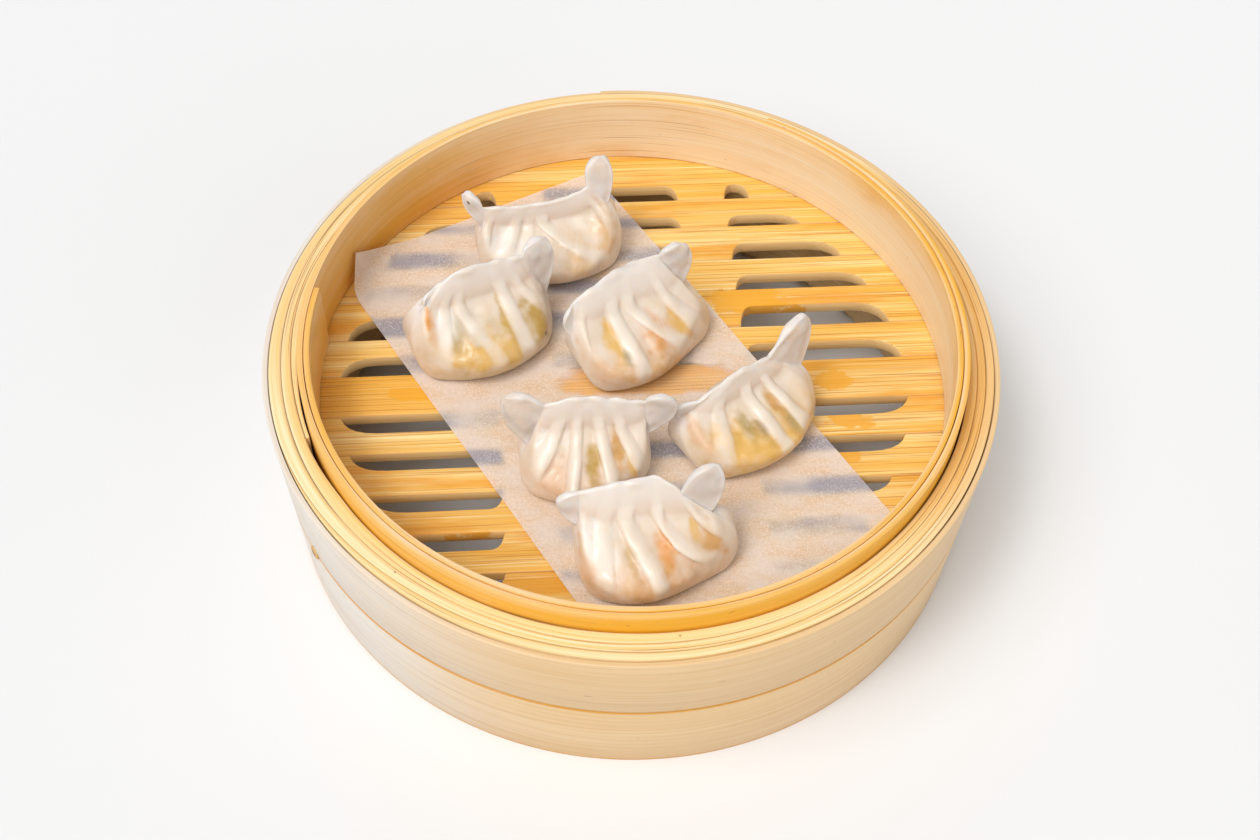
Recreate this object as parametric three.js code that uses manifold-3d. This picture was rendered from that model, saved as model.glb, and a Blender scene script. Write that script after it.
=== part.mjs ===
// A bamboo steamer basket with a paper liner and six pleated vegetable dumplings.
// Millimetres, +Z up. The origin is the middle of the basket's underside, and -Y is the
// side that the dumplings' pleats face.
import * as THREE from 'three';
import { mergeVertices } from 'three/addons/utils/BufferGeometryUtils.js';
import Module from 'manifold-3d';

// Basket: two thin bands round a thick wound wall, with an inner hoop that seats the next tier.
const OUTER_RADIUS = 127;
const FOOT_TAPER = 3.7;
const BAND_THICKNESS = 1.9;
const BAND_SEAM_HEIGHT = 37.5;
const BAND_TOP = 71;
const BAND_LAP = 0.9;
const BAND_LAP_SPAN = 60;
const UPPER_LAP_AT = 97;
const LOWER_LAP_AT = 75;
const WALL_TOP = 71.5;
const WALL_END_AT = 203;
const WALL_SLIT = 0.45;
const WALL_END_STEP = 1.3;
const WALL_END_SPAN = 16;
const HOOP_TOP = 79.6;
const HOOP_RADIUS = 109.9;
const HOOP_PLY = 2;
const HOOP_PITCH = 2.3;
const HOOP_END_AT = 173;
const HOOP_TURNS = 1.7;
const SUPPORT_RADIUS = 109.5;
const SUPPORT_THICKNESS = 4.7;
const SUPPORT_BOTTOM = 9;
const GAP = 0.3;
const RING_STEP = 5;

// Floor: boards laid side by side, with steam slots cut into the edge that faces the middle board.
const FLOOR_TOP = 50;
const BOARD_THICKNESS = 5;
const BOARD_REACH = 114.3;
const BOARD_TURN = 5;
const JOINTS = [87.5, 73, 56, 41, 23, 6.5, -11.5, -28, -45.5, -62, -78];
const SLOT_DEPTHS = [7.3, 5.2, 7.6, 6.6, 9.4, 8, 7.2, 6.8, 6.8, 6.6, 5.2];
const FRONT_SLOTS_FROM = 6;
const SLOT_CENTRE_X = -2.3;
const SLOT_CENTRE_Y = 2;
const SLOT_CIRCLE = 101;
const MIDDLE_SLOT_HALF = 26;
const SIDE_SLOT_START = 44;
const SHORTEST_SLOT = 9;
const SLOT_INNER_SWEEP = 5;
const SLOT_OUTER_SWEEP = 13;
const OUTER_SWEEP_SHARE = 0.55;
const INNER_SWEEP_SHARE = 0.35;
const SLOT_CORNER_PULL = 0.15;
const CORNER_STEPS = 5;
const END_STEP = 14;

// One bamboo pin through the seam of the two bands.
const PEG_AT = 213;
const PEG_RADIUS = 2.6;
const PEG_PROUD = 0.8;
const PEG_SIDES = 14;

// Paper: one strip laid slantwise, cut round at the front, its back corner bent up the hoop.
const PAPER_TURN = 34.4;
const PAPER_LEFT = -65;
const PAPER_RIGHT = 43;
const PAPER_BACK = 97.5;
const PAPER_BACK_SLOPE = 0.075;
const PAPER_FRONT_RADIUS = 107;
const PAPER_THICKNESS = 0.5;
const PAPER_WAVE = 0.25;
const PAPER_WAVE_RATES = [0.11, 0.07, 0.03];
const PAPER_BEND_FROM = 104;
const PAPER_BEND_RADIUS = 5;
const PAPER_BEND_ANGLE = 1.4;
const PAPER_CELLS = [11, 20];

// Dumplings: each stands on a flat base, its skin gathered into a pressed seam that leans back.
// at and turn place it; half is the belly's reach to the left and right, front and back its depth,
// skew how much deeper its front is on the right. root is the height of the seam's foot, crest the
// seam's edge in the middle, as distance back and height. Each of ends is one end of the seam: the
// last point of its crest, the foot of the pinched ear, the ear's tip and half its width. Each of
// pleats is where a fold stands low on the belly and at the seam, from -1 to 1, its height and width.
const DUMPLING_FLOOR = FLOOR_TOP + 1.6;
const SEAM_THICKNESS = 2.6;
const BODY_SHARE = 0.8;
const BELLY_HEIGHT = 0.24;
const BELLY_TUCK = 0.22;
const BELLY_END = 0.62;
const FOLD_START = [0.18, 0.38];
const FOLD_END = [0.5, 0.76];
const FOLD_FADE = 0.3;
const FOLD_SLANT = [0.25, 0.62];
const FLAT_END = 0.74;
const NOSE_FROM = 0.5;
const NOSE_PULL = 1.03;
const NOSE_FULL = 1.43;
const NOSE_BACK = 0.4;
const NOSE_RISE = 0.8;
const ROOT_FADE = 0.8;
const BEND_SHARE = 0.55;
const FLAT_BELOW = 0.25;
const EAR_SHOULDER = 0.2;
const FOLD_RISE = 0.1;
const FOLD_DROP = 0.08;
const VALLEY_ROOM = 0.02;
const FOLD_STEPS = 2;
const END_STEPS = 3;
const EAR_STEPS = 4;
const SECTION_STEPS = 8;
const DUMPLINGS = [
  {
    at: [-32.6, 59], turn: 14, half: [26.8, 26.8], front: 19.5, back: 13, skew: 0.14, root: 18,
    crest: [1.5, 24.6],
    ends: [
      { crest: [-23, 2.5, 26], foot: [-24, 1.5, 18], tip: [-29.4, 7, 29.8], width: 4 },
      { crest: [15.5, 3.4, 27.7], foot: [23, 2, 21], tip: [22, 10, 36], width: 7.5 },
    ],
    pleats: [
      [-0.62, -0.62, 1.4, 0.8], [-0.44, -0.32, 1.6, 0.8], [-0.26, -0.18, 1.4, 0.7],
      [0.42, -0.05, 2.6, 1], [0.64, 0.62, 1.6, 0.8],
    ],
  },
  {
    at: [-55, 16], turn: 24, half: [26.2, 26], front: 21.4, back: 14.5, skew: 0, root: 20,
    crest: [6.5, 31.7],
    ends: [
      { crest: [-11.4, 6, 28.5], foot: [-20.5, 4, 20.5], tip: [-17.5, 3, 22.2], width: 4.5 },
      { crest: [19.5, 6, 30.4], foot: [26.5, 3, 12], tip: [28.2, 9, 33], width: 8 },
    ],
    pleats: [
      [-0.44, -0.42, 1.4, 0.9], [0.04, -0.23, 1.8, 1], [0.3, 0.3, 3, 1], [0.66, 0.5, 2, 0.9],
    ],
  },
  {
    at: [2.9, 15.2], turn: 29.5, half: [26.5, 26.5], front: 18.4, back: 14.5, skew: -0.34, root: 20.5,
    crest: [11, 33],
    ends: [
      { crest: [-23, 8, 27.2], foot: [-26.5, 4, 16], tip: [-28.2, 5, 22.4], width: 4 },
      { crest: [12.3, 10, 32], foot: [16.5, 5, 16], tip: [22.5, 10, 33], width: 9 },
    ],
    pleats: [
      [-0.66, -0.66, 1.5, 0.9], [-0.2, -0.28, 3, 1], [0.26, -0.1, 3, 1], [0.46, 0.34, 2.8, 1],
    ],
  },
  {
    at: [-14.7, -38.4], turn: 6, half: [22.6, 21.8], front: 18.6, back: 14, skew: -0.13, root: 19.5,
    crest: [5.5, 30.8],
    ends: [
      { crest: [-13.3, 5, 28.2], foot: [-19.8, 2.5, 12], tip: [-26.5, 7, 30.6], width: 8 },
      { crest: [20, 4, 28.4], foot: [20.5, 2, 14.5], tip: [29.5, 3, 30.6], width: 8 },
    ],
    pleats: [
      [-0.56, -0.36, 2.8, 1.3], [-0.16, -0.1, 3, 1], [0.24, 0.16, 3, 0.9], [0.52, 0.39, 2.8, 0.9],
    ],
  },
  {
    at: [40.6, -19.9], turn: 37.5, half: [28, 25.6], front: 20.2, back: 14, skew: -0.07, root: 19.5,
    crest: [4, 29],
    ends: [
      { crest: [-19, 4, 24.1], foot: [-25.5, 7.5, 17], tip: [-27, 7, 22], width: 3 },
      { crest: [9.8, 4, 26.8], foot: [24, 2.5, 15.6], tip: [28, 7, 34.5], width: 6.5 },
    ],
    pleats: [[-0.46, -0.39, 2, 1], [0.04, -0.04, 3.2, 1], [0.35, 0.29, 3.2, 1]],
  },
  {
    at: [9.7, -74.6], turn: 9, half: [26.7, 26.7], front: 19.1, back: 12.5, skew: -0.35, root: 20.5,
    crest: [10.8, 31.1],
    ends: [
      { crest: [-24, 9.5, 27.9], foot: [-25.5, 5, 17], tip: [-31.3, 9, 24.9], width: 4 },
      { crest: [8.4, 6, 27.4], foot: [18.4, 4, 18.4], tip: [19.8, 9, 36.4], width: 7.5 },
    ],
    pleats: [
      [-0.43, -0.45, 1.6, 1], [0, -0.26, 3, 1], [0.44, 0.04, 3.2, 1], [0.65, 0.5, 2, 0.8],
    ],
  },
];

const radians = THREE.MathUtils.degToRad;
const lerp = THREE.MathUtils.lerp;
const smoothstep = THREE.MathUtils.smoothstep;

const steamer = new THREE.Group();

function addMesh(parent, name, geometry, color, roughness) {
  const material = new THREE.MeshStandardMaterial({ color, roughness, metalness: 0 });
  const mesh = new THREE.Mesh(geometry, material);
  mesh.name = name;
  parent.add(mesh);
  return mesh;
}

// Keeps only positions and joins the vertices that coincide, so that a shape is one closed skin.
function closedSkin(geometry) {
  geometry.deleteAttribute('normal');
  geometry.deleteAttribute('uv');
  return mergeVertices(geometry);
}

// Moves every vertex of a geometry to the place that a function of its old place gives.
function reshape(geometry, place) {
  const position = geometry.getAttribute('position');
  const point = new THREE.Vector3();
  for (let i = 0; i < position.count; i += 1) {
    point.fromBufferAttribute(position, i);
    position.setXYZ(i, ...place(point, i));
  }
  return closedSkin(geometry);
}

// A strip of bamboo bent on edge round the Z axis, from one angle to another in degrees.
// inner and outer give the radius of its two faces at an angle and a height.
function bentStrip(from, to, inner, outer, bottom, top) {
  const segments = Math.round((to - from) / RING_STEP);
  const box = new THREE.BoxGeometry(1, 1, 1, segments, 1, 1);
  return reshape(box, (point) => {
    const angle = lerp(from, to, point.x + 0.5);
    const z = lerp(bottom, top, point.z + 0.5);
    const radius = lerp(outer(angle, z), inner(angle, z), point.y + 0.5);
    return [radius * Math.cos(radians(angle)), radius * Math.sin(radians(angle)), z];
  });
}

// Radius of the basket's outside at a height: it draws in a little towards the foot.
function outsideAt(z) {
  return OUTER_RADIUS - FOOT_TAPER * (1 - z / BAND_TOP);
}

// The angle that a given length takes up on a circle, in degrees.
function spanAngle(length, radius) {
  return THREE.MathUtils.radToDeg(length / radius);
}

const wasm = await Module();
wasm.setup();

function toSolid(geometry) {
  const mesh = new wasm.Mesh({
    numProp: 3,
    vertProperties: new Float32Array(geometry.getAttribute('position').array),
    triVerts: new Uint32Array(geometry.getIndex().array),
  });
  return new wasm.Manifold(mesh);
}

function toGeometry(solid) {
  const { vertProperties, triVerts } = solid.getMesh();
  const geometry = new THREE.BufferGeometry();
  geometry.setAttribute('position', new THREE.BufferAttribute(vertProperties, 3));
  geometry.setIndex(new THREE.BufferAttribute(triVerts, 1));
  return geometry;
}

// A round pin lying on a radius of the basket at the band seam.
function radialPin(radius, from, to) {
  const pin = new THREE.CylinderGeometry(radius, radius, to - from, PEG_SIDES);
  pin.rotateZ(-Math.PI / 2);
  pin.translate((from + to) / 2, 0, BAND_SEAM_HEIGHT);
  pin.rotateZ(radians(PEG_AT));
  return closedSkin(pin);
}

// Outer bands. Each is one strip whose outer end laps a thinned stretch, and the pin passes
// through both.
function addBands() {
  const pegEnd = outsideAt(BAND_SEAM_HEIGHT) + PEG_PROUD;
  const pegStart = outsideAt(BAND_SEAM_HEIGHT) - BAND_THICKNESS;
  const pinHole = toSolid(radialPin(PEG_RADIUS + GAP, pegStart - 1, pegEnd));
  const slit = spanAngle(GAP, OUTER_RADIUS);
  const inner = (angle, z) => outsideAt(z) - BAND_THICKNESS;
  const addBand = (name, lapAt, bottom, top, color) => {
    const thinned = (angle) => BAND_LAP * (1 - smoothstep(angle - lapAt, 0, BAND_LAP_SPAN));
    const outer = (angle, z) => outsideAt(z) - thinned(angle);
    const strip = bentStrip(lapAt, lapAt + 360 - slit, inner, outer, bottom, top);
    addMesh(steamer, name, toGeometry(toSolid(strip).subtract(pinHole)), color, 0.6);
  };
  addBand('outer_band_upper', UPPER_LAP_AT, BAND_SEAM_HEIGHT + GAP / 2, BAND_TOP, 0xe6cfa6);
  addBand('outer_band_lower', LOWER_LAP_AT, 0, BAND_SEAM_HEIGHT - GAP / 2, 0xe8d0a4);
  const peg = radialPin(PEG_RADIUS, pegStart, pegEnd);
  addMesh(steamer, 'band_peg', peg, 0xb06e2c, 0.7);
}

// Radius of the inner hoop's inside at an angle along its winding.
function hoopInside(angle) {
  return HOOP_RADIUS + HOOP_PITCH * (angle - HOOP_END_AT) / 360;
}

// Wound wall, bearing on the outer turn of the inner hoop. The free end of its innermost turn stands
// off the hoop and leaves a step on the inside.
function addWall() {
  const slit = spanAngle(GAP, OUTER_RADIUS);
  const outer = (angle, z) => outsideAt(z) - BAND_THICKNESS - GAP;
  const bearing = (angle) => hoopInside(angle + 360) + HOOP_PLY + WALL_SLIT;
  const wallEnd = WALL_END_AT + 360;
  const hoopEnd = HOOP_END_AT + 360 * (HOOP_TURNS - 1);
  const inner = (angle) => {
    const along = THREE.MathUtils.clamp((angle - hoopEnd) / (wallEnd - hoopEnd), 0, 1);
    const bears = lerp(bearing(Math.min(angle, hoopEnd)), bearing(WALL_END_AT), along);
    return bears + WALL_END_STEP * (1 - smoothstep(angle, WALL_END_AT, WALL_END_AT + WALL_END_SPAN));
  };
  const wall = bentStrip(WALL_END_AT, wallEnd - slit, inner, outer, 0, WALL_TOP);
  addMesh(steamer, 'wall_hoop', wall, 0xeccb92, 0.6);
}

// Inner hoop: one strip wound nearly twice, from a free inner end outwards, standing on the boards.
function addInnerHoop() {
  const outer = (angle) => hoopInside(angle) + HOOP_PLY;
  const end = HOOP_END_AT + 360 * HOOP_TURNS;
  const hoop = bentStrip(HOOP_END_AT, end, hoopInside, outer, FLOOR_TOP + GAP, HOOP_TOP);
  addMesh(steamer, 'inner_hoop', hoop, 0xe7b765, 0.55);
}

// Hoop under the boards, inside the wall, that carries the floor.
function addSupportHoop() {
  const top = FLOOR_TOP - BOARD_THICKNESS - GAP;
  const outer = SUPPORT_RADIUS + SUPPORT_THICKNESS;
  const slit = spanAngle(GAP, outer);
  const hoop = bentStrip(0, 360 - slit, () => SUPPORT_RADIUS, () => outer, SUPPORT_BOTTOM, top);
  addMesh(steamer, 'support_hoop', hoop, 0xdcb268, 0.65);
}

// The slots along one joint, as [start, end] along X in the boards' own frame.
function slotSpans(joint) {
  const reach = Math.sqrt(SLOT_CIRCLE ** 2 - (joint - SLOT_CENTRE_Y) ** 2);
  const spans = [[-Math.min(MIDDLE_SLOT_HALF, reach), Math.min(MIDDLE_SLOT_HALF, reach)]];
  if (reach - SIDE_SLOT_START > SHORTEST_SLOT) {
    spans.unshift([-reach, -SIDE_SLOT_START]);
    spans.push([SIDE_SLOT_START, reach]);
  }
  return spans.map(([start, end]) => [start + SLOT_CENTRE_X, end + SLOT_CENTRE_X]);
}

// Draws a board edge along y = edge from the pen's place towards X = to, dipping into each slot.
// depth is signed: the way that the slots are cut.
function drawEdge(outline, edge, spans, depth, forward) {
  const ordered = forward ? spans : spans.map(([start, end]) => [end, start]).reverse();
  for (const [start, end] of ordered) {
    const way = Math.sign(end - start);
    const length = Math.abs(end - start);
    const isSide = Math.abs(start - SLOT_CENTRE_X) > SIDE_SLOT_START - 1;
    const startIsOuter = Math.abs(start - SLOT_CENTRE_X) > Math.abs(end - SLOT_CENTRE_X);
    const outerSweep = Math.min(SLOT_OUTER_SWEEP, length * OUTER_SWEEP_SHARE);
    const innerSweep = Math.min(SLOT_INNER_SWEEP, length * INNER_SWEEP_SHARE);
    const first = isSide && startIsOuter ? outerSweep : innerSweep;
    const last = isSide && !startIsOuter ? outerSweep : innerSweep;
    const floor = edge + depth;
    outline.lineTo(start, edge);
    outline.quadraticCurveTo(start + way * first * SLOT_CORNER_PULL, floor, start + way * first, floor);
    outline.lineTo(end - way * last, floor);
    outline.quadraticCurveTo(end - way * last * SLOT_CORNER_PULL, floor, end, edge);
  }
}

// Goes along the round end of the floor from the pen's place to the given angle, in radians.
function drawRoundEnd(outline, from, to) {
  const steps = Math.max(1, Math.ceil(Math.abs(to - from) * BOARD_REACH / END_STEP));
  for (let i = 1; i <= steps; i += 1) {
    const angle = lerp(from, to, i / steps);
    outline.lineTo(BOARD_REACH * Math.cos(angle), BOARD_REACH * Math.sin(angle));
  }
}

// Floor boards from the back to the front. The slots of the back half are cut into a board's front
// edge, those of the front half into its back edge.
function addFloor() {
  const floor = new THREE.Group();
  floor.rotation.z = radians(BOARD_TURN);
  floor.position.z = FLOOR_TOP - BOARD_THICKNESS;
  steamer.add(floor);
  const rimAngle = (y) => Math.asin(THREE.MathUtils.clamp(y / BOARD_REACH, -1, 1));
  for (let i = 0; i <= JOINTS.length; i += 1) {
    const back = i === 0 ? BOARD_REACH : JOINTS[i - 1] - GAP / 2;
    const front = i === JOINTS.length ? -BOARD_REACH : JOINTS[i] + GAP / 2;
    const frontAngle = rimAngle(front);
    const backAngle = rimAngle(back);
    const outline = new THREE.Shape();
    outline.moveTo(-BOARD_REACH * Math.cos(frontAngle), front);
    if (i < JOINTS.length) {
      const spans = i < FRONT_SLOTS_FROM ? slotSpans(JOINTS[i]) : [];
      drawEdge(outline, front, spans, SLOT_DEPTHS[i], true);
      outline.lineTo(BOARD_REACH * Math.cos(frontAngle), front);
    }
    drawRoundEnd(outline, frontAngle, backAngle);
    if (i > 0) {
      const spans = i > FRONT_SLOTS_FROM ? slotSpans(JOINTS[i - 1]) : [];
      drawEdge(outline, back, spans, -SLOT_DEPTHS[i - 1], false);
      outline.lineTo(-BOARD_REACH * Math.cos(backAngle), back);
    }
    drawRoundEnd(outline, Math.PI - backAngle, Math.PI - frontAngle);
    const settings = { depth: BOARD_THICKNESS, bevelEnabled: false, curveSegments: CORNER_STEPS };
    const board = closedSkin(new THREE.ExtrudeGeometry(outline, settings));
    addMesh(floor, `floor_board_${String(i + 1).padStart(2, '0')}`, board, 0xe9b25a, 0.55);
  }
}

// Paper liner: a thin wavy sheet on the boards.
function addPaper() {
  const sheet = new THREE.BoxGeometry(1, 1, 1, PAPER_CELLS[0], PAPER_CELLS[1], 1);
  const geometry = reshape(sheet, (point) => {
    const flatX = lerp(PAPER_LEFT, PAPER_RIGHT, point.x + 0.5);
    const front = -Math.sqrt(PAPER_FRONT_RADIUS ** 2 - flatX ** 2);
    const flatY = lerp(front, PAPER_BACK - PAPER_BACK_SLOPE * flatX, point.y + 0.5);
    const reach = Math.hypot(flatX, flatY);
    const past = Math.max(0, reach - PAPER_BEND_FROM);
    const angle = Math.min(PAPER_BEND_ANGLE, past / PAPER_BEND_RADIUS);
    const straight = past - angle * PAPER_BEND_RADIUS;
    const out = PAPER_BEND_RADIUS * Math.sin(angle) + straight * Math.cos(angle);
    const up = PAPER_BEND_RADIUS * (1 - Math.cos(angle)) + straight * Math.sin(angle);
    const [across, along, slant] = PAPER_WAVE_RATES;
    const wave = 1 + Math.sin(flatX * across) * Math.cos(flatY * along + flatX * slant);
    const through = (point.z + 0.5) * PAPER_THICKNESS;
    const radius = Math.min(reach, PAPER_BEND_FROM) + out - through * Math.sin(angle);
    const z = FLOOR_TOP + GAP + up + PAPER_WAVE * wave + through * Math.cos(angle);
    return [flatX / reach * radius, flatY / reach * radius, z];
  });
  const paper = addMesh(steamer, 'paper_liner', geometry, 0xe6d6cc, 0.7);
  paper.rotation.z = radians(PAPER_TURN);
}

// How far the pouch swells at a height on its section, 0 at the base and 1 at the crest.
function swellAt(height) {
  const foot = 1 - BELLY_TUCK * Math.max(0, 1 - height / BELLY_HEIGHT) ** 2;
  return foot * (1 - smoothstep(height, BELLY_HEIGHT, BELLY_END));
}

// How far a fold stands out at a height: fully on the belly, running out at the base and the seam.
function foldAt(height) {
  return smoothstep(height, ...FOLD_START) * (1 - smoothstep(height, ...FOLD_END));
}

// The base's edge from the middle to one end, at a share of that way: flat along the paper, then up
// round the end of the belly to the foot of the ear.
function baseRail(half, foot, share) {
  const flat = new THREE.Vector3(FLAT_END * half, 0, 0);
  if (share <= NOSE_FROM) return flat.multiplyScalar(share / NOSE_FROM);
  const under = new THREE.Vector3(NOSE_PULL * half, 0, 0);
  const over = foot.clone().multiplyScalar(NOSE_RISE).setX(NOSE_FULL * half - NOSE_BACK * foot.x);
  const nose = new THREE.CubicBezierCurve3(flat, under, over, foot);
  return nose.getPoint((share - NOSE_FROM) / (1 - NOSE_FROM));
}

// The seam's section at a station from -1, the left ear's tip, to 1, the right ear's tip: the points
// at its base, its bend and its crest, and how far the pouch is filled there.
function sectionRails(form, station) {
  const side = station < 0 ? -1 : 1;
  const ear = side < 0 ? 0 : 1;
  const crestEnd = new THREE.Vector3(...form.ends[ear].crest);
  const foot = new THREE.Vector3(...form.ends[ear].foot);
  const tip = new THREE.Vector3(...form.ends[ear].tip);
  const earWidth = form.ends[ear].width;
  const share = Math.min(1, Math.abs(station) / BODY_SHARE);
  const filled = Math.cos(share * Math.PI / 2);
  const crest = new THREE.Vector3(
    crestEnd.x * share,
    lerp(form.crest[0], crestEnd.y, (smoothstep(share, 0, 1) + share) / 2),
    lerp(form.crest[1], crestEnd.z, share ** 2),
  );
  const base = baseRail(side * form.half[ear], foot, share);
  const rootHeight = lerp((foot.z + crestEnd.z) / 2, form.root, filled ** ROOT_FADE);
  const bend = new THREE.Vector3(lerp(base.x, crest.x, BEND_SHARE), base.y, rootHeight);
  bend.lerp(base.clone().lerp(crest, 0.5), 1 - Math.min(1, filled / FLAT_BELOW));
  const past = (Math.abs(station) - BODY_SHARE) / (1 - BODY_SHARE);
  if (past <= 0) return { base, bend, crest, filled };
  const axis = tip.clone().sub(base.clone().lerp(crest, 0.5)).normalize();
  const across = new THREE.Vector3(-side * axis.z, 0, side * axis.x).setLength(earWidth);
  const shoulder = tip.clone().addScaledVector(axis, -EAR_SHOULDER * earWidth);
  const upper = new THREE.QuadraticBezierCurve3(crest, shoulder.clone().add(across), tip).getPoint(past);
  const lower = new THREE.QuadraticBezierCurve3(base, shoulder.clone().sub(across), tip).getPoint(past);
  return { base: lower, bend: lower.clone().lerp(upper, 0.5), crest: upper, filled: 0 };
}

// A section between two others: where it stands low down and at the seam, and its fold's height.
function between(a, b, t) {
  return {
    low: lerp(a.low, b.low, t),
    high: lerp(a.high, b.high, t),
    lift: lerp(a.lift, b.lift, smoothstep(t, 0, 1)),
  };
}

// Sections from the left ear's tip to the right one's. Each fold rises slowly and drops off sharply,
// and two folds that stand close together share one valley.
function seamSections(pleats) {
  const plain = (station) => ({ low: station, high: station, lift: 0 });
  const ridges = pleats.map(([low, high, lift, width]) => ({ low, high, lift, width }));
  const beside = (ridge, along) => ({ low: ridge.low + along, high: ridge.high + along, lift: 0 });
  const before = (ridge) => beside(ridge, -FOLD_RISE * ridge.width);
  const knots = [plain(-1), plain(-BODY_SHARE), before(ridges[0])];
  ridges.forEach((ridge, i) => {
    const next = ridges[i + 1];
    knots.push(ridge);
    const drop = FOLD_DROP * ridge.width;
    if (next) {
      const room = Math.min(next.low - ridge.low, next.high - ridge.high);
      const rise = FOLD_RISE * next.width;
      if (room < drop + rise + VALLEY_ROOM) {
        knots.push({ ...between(ridge, next, drop / (rise + drop)), lift: 0 });
        return;
      }
    }
    knots.push(beside(ridge, drop));
    if (next) knots.push(before(next));
  });
  knots.push(plain(BODY_SHARE), plain(1));
  const sections = [];
  const last = knots.length - 1;
  const stepsTo = (i) => {
    if (i === 1 || i === last) return EAR_STEPS;
    return i === 2 || i === last - 1 ? END_STEPS : FOLD_STEPS;
  };
  for (let i = 1; i <= last; i += 1) {
    const steps = stepsTo(i);
    for (let j = 0; j < steps; j += 1) sections.push(between(knots[i - 1], knots[i], j / steps));
  }
  sections.push(knots[last]);
  return sections;
}

// Skin of one dumpling, section by section: from the crest down the back, across the base and up
// the pleated front.
function dumplingSkin(form) {
  const sections = seamSections(form.pleats);
  const loop = [];
  for (let i = 0; i <= SECTION_STEPS; i += 1) loop.push({ height: 1 - i / SECTION_STEPS, side: 1 });
  for (let i = 0; i < SECTION_STEPS; i += 1) loop.push({ height: i / SECTION_STEPS, side: -1 });
  const skin = new THREE.SphereGeometry(1, loop.length, sections.length - 1);
  const columns = loop.length + 1;
  return reshape(skin, (point, index) => {
    const row = Math.floor(index / columns);
    const { low, high, lift } = sections[row];
    const { height, side } = loop[(index % columns) % loop.length];
    const isTip = row === 0 || row === sections.length - 1;
    const station = isTip ? low : lerp(low, high, smoothstep(height, ...FOLD_SLANT));
    const { base, bend, crest, filled } = sectionRails(form, station);
    const middle = new THREE.QuadraticBezierCurve3(base, bend, crest).getPoint(height);
    const isEdge = height === 1;
    const thin = isTip || isEdge ? 0 : SEAM_THICKNESS / 2;
    const along = THREE.MathUtils.clamp(station / BODY_SHARE, -1, 1);
    const front = form.front * (1 + form.skew * Math.sin(along * Math.PI / 2));
    const belly = (side > 0 ? form.back : front) * filled * swellAt(height);
    const pleat = side < 0 ? lift * foldAt(height) * filled ** FOLD_FADE : 0;
    return [middle.x, middle.y + side * (thin + belly + pleat), middle.z];
  });
}

function addDumplings() {
  DUMPLINGS.forEach((form, i) => {
    const dumpling = addMesh(steamer, `dumpling_${i + 1}`, dumplingSkin(form), 0xe4d8c6, 0.3);
    dumpling.position.set(form.at[0], form.at[1], DUMPLING_FLOOR);
    dumpling.rotation.z = radians(form.turn);
  });
}

addBands();
addWall();
addSupportHoop();
addFloor();
addInnerHoop();
addPaper();
addDumplings();

export default steamer;
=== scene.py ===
import math

import bmesh
import bpy
import numpy as np
from mathutils import Matrix, Vector, noise


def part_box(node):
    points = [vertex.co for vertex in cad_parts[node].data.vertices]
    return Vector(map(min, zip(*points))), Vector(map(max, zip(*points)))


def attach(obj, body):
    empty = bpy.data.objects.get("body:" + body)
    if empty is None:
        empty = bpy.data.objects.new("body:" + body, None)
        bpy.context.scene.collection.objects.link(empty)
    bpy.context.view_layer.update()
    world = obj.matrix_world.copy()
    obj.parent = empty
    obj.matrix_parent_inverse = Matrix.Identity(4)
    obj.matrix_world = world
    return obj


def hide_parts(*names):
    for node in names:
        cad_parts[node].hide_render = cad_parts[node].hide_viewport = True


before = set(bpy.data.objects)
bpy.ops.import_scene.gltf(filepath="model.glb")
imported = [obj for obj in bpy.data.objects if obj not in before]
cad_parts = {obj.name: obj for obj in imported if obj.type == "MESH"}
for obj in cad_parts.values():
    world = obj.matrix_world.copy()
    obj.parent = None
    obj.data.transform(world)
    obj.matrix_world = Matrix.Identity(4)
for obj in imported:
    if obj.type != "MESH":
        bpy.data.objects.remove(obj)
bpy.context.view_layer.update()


# Wall. One long strip of split bamboo, planed flat and wound three times round into a thick wall.
# The turns lie tight; on the rim their edges show as pale rings with thin dark gaps between them,
# the gaps' dark partly painted shade, and the strip's free inner end leaves a narrow wedge at the left.
MM = 0.001
OUTER_RADIUS = 127 * MM
FOOT_TAPER = 3.7 * MM
BAND_TOP = 71 * MM
BAND_THICKNESS = 1.9 * MM
GAP = 0.3 * MM
WALL_TOP = 71.5 * MM
WALL_TURNS = 3
WALL_END_AT = 203
WALL_END_STEP = 1.3 * MM
WALL_END_SPAN = 16
WALL_FEATHER = 0.1
WALL_SLIT = 0.45 * MM
TURNS_IN = (1, 1.1, 1.9, 2.1, WALL_TURNS)
TURN_SHARES = (1, 0.7, 0.64, 0.38, 0.32)
HOOP_RADIUS = 109.9 * MM
HOOP_PLY = 2 * MM
HOOP_PITCH = 2.3 * MM
HOOP_END_AT = 173
HOOP_TURNS = 1.7
TURN_GAP = 0.12 * MM
THINNEST = 0.05 * MM
STRIP_EDGE = 0.2 * MM
STRIP_STEP = 1.5
STRIP_CUTS = 12
STRIP_WOBBLE = 0.2 * MM
WOBBLE_SPAN = 23
WOBBLE_SHIFT = 900
STRIP_CORNER = math.radians(35)


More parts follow.
